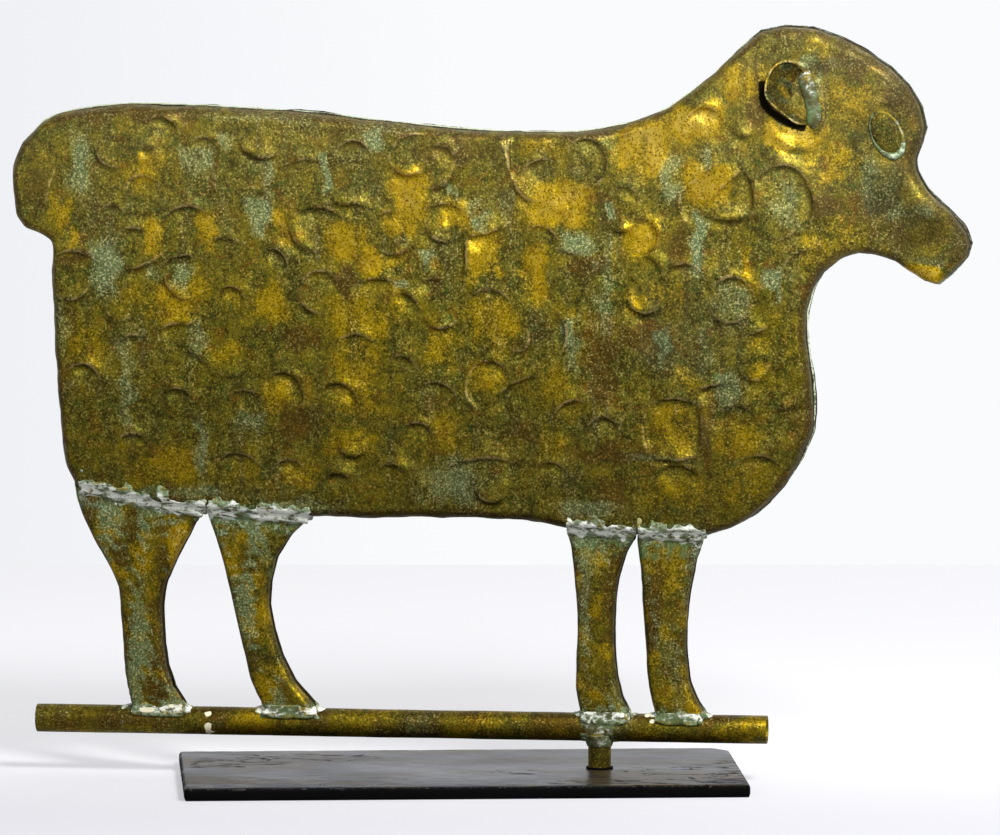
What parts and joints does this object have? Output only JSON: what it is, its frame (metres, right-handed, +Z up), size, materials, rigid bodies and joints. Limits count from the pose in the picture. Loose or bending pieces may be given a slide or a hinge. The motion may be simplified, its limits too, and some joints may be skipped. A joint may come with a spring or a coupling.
{
  "type": "sheep weathervane",
  "caption": "Sheep weathervane of dished copper sheet on a horizontal tube, turning on a rod that stands on a flat steel plate.",
  "frame": {"origin": "on the swivel axis, at the underside of the base plate", "axes": "+X from the tail to the head along the mounting tube, +Z up along the swivel axis"},
  "size_m": [0.7521, 0.3022, 0.5915],
  "materials": {
    "body_copper": "hammered sheet copper, worn gilding over brown and green patina",
    "leg_copper": "sheet copper, brown and green patina",
    "ear_copper": "sheet copper, dark patina",
    "eye_copper": "sheet copper, brown patina",
    "tube_copper": "drawn copper tube, brown patina",
    "seam_solder": "soft solder, dull green grey",
    "grey_solder": "soft solder, dull grey with pale bloom",
    "plate_steel": "hot rolled steel plate, blackened and waxed",
    "spindle_steel": "bright drawn steel rod",
    "washer_steel": "blackened steel washer"
  },
  "bodies": {
    "stand": {"base_plate": "plate_steel", "spindle_rod": "spindle_steel"},
    "washer": {"thrust_washer": "washer_steel"},
    "vane": {"socket_tube": "tube_copper", "socket_solder": "grey_solder", "mounting_tube": "tube_copper", "body_near_half": "body_copper", "body_far_half": "body_copper", "body_seam_solder": "seam_solder", "rear_hind_leg_near_half": "leg_copper", "rear_hind_leg_far_half": "leg_copper", "front_hind_leg_near_half": "leg_copper", "front_hind_leg_far_half": "leg_copper", "rear_fore_leg_near_half": "leg_copper", "rear_fore_leg_far_half": "leg_copper", "front_fore_leg_near_half": "leg_copper", "front_fore_leg_far_half": "leg_copper", "rear_hind_leg_top_solder": "grey_solder", "front_hind_leg_top_solder": "grey_solder", "rear_fore_leg_top_solder": "grey_solder", "front_fore_leg_top_solder": "grey_solder", "rear_hind_foot_solder": "grey_solder", "front_hind_foot_solder": "grey_solder", "rear_fore_foot_solder": "grey_solder", "front_fore_foot_solder": "grey_solder", "ear_near": "ear_copper", "ear_far": "ear_copper", "ear_solder_near": "grey_solder", "ear_solder_far": "grey_solder", "eye_near": "eye_copper", "eye_far": "eye_copper", "eye_solder_near": "seam_solder", "eye_solder_far": "seam_solder"}
  },
  "joints": [
    {"name": "vane_swivel", "type": "hinge", "parent": "stand", "child": "washer", "pos_m": [0, 0, 0.02], "axis": [0, 0, 1], "continuous": true},
    {"name": "vane_lift", "type": "slide", "parent": "washer", "child": "vane", "axis": [0, 0, 1], "range_m": [0, 0.12]}
  ]
}
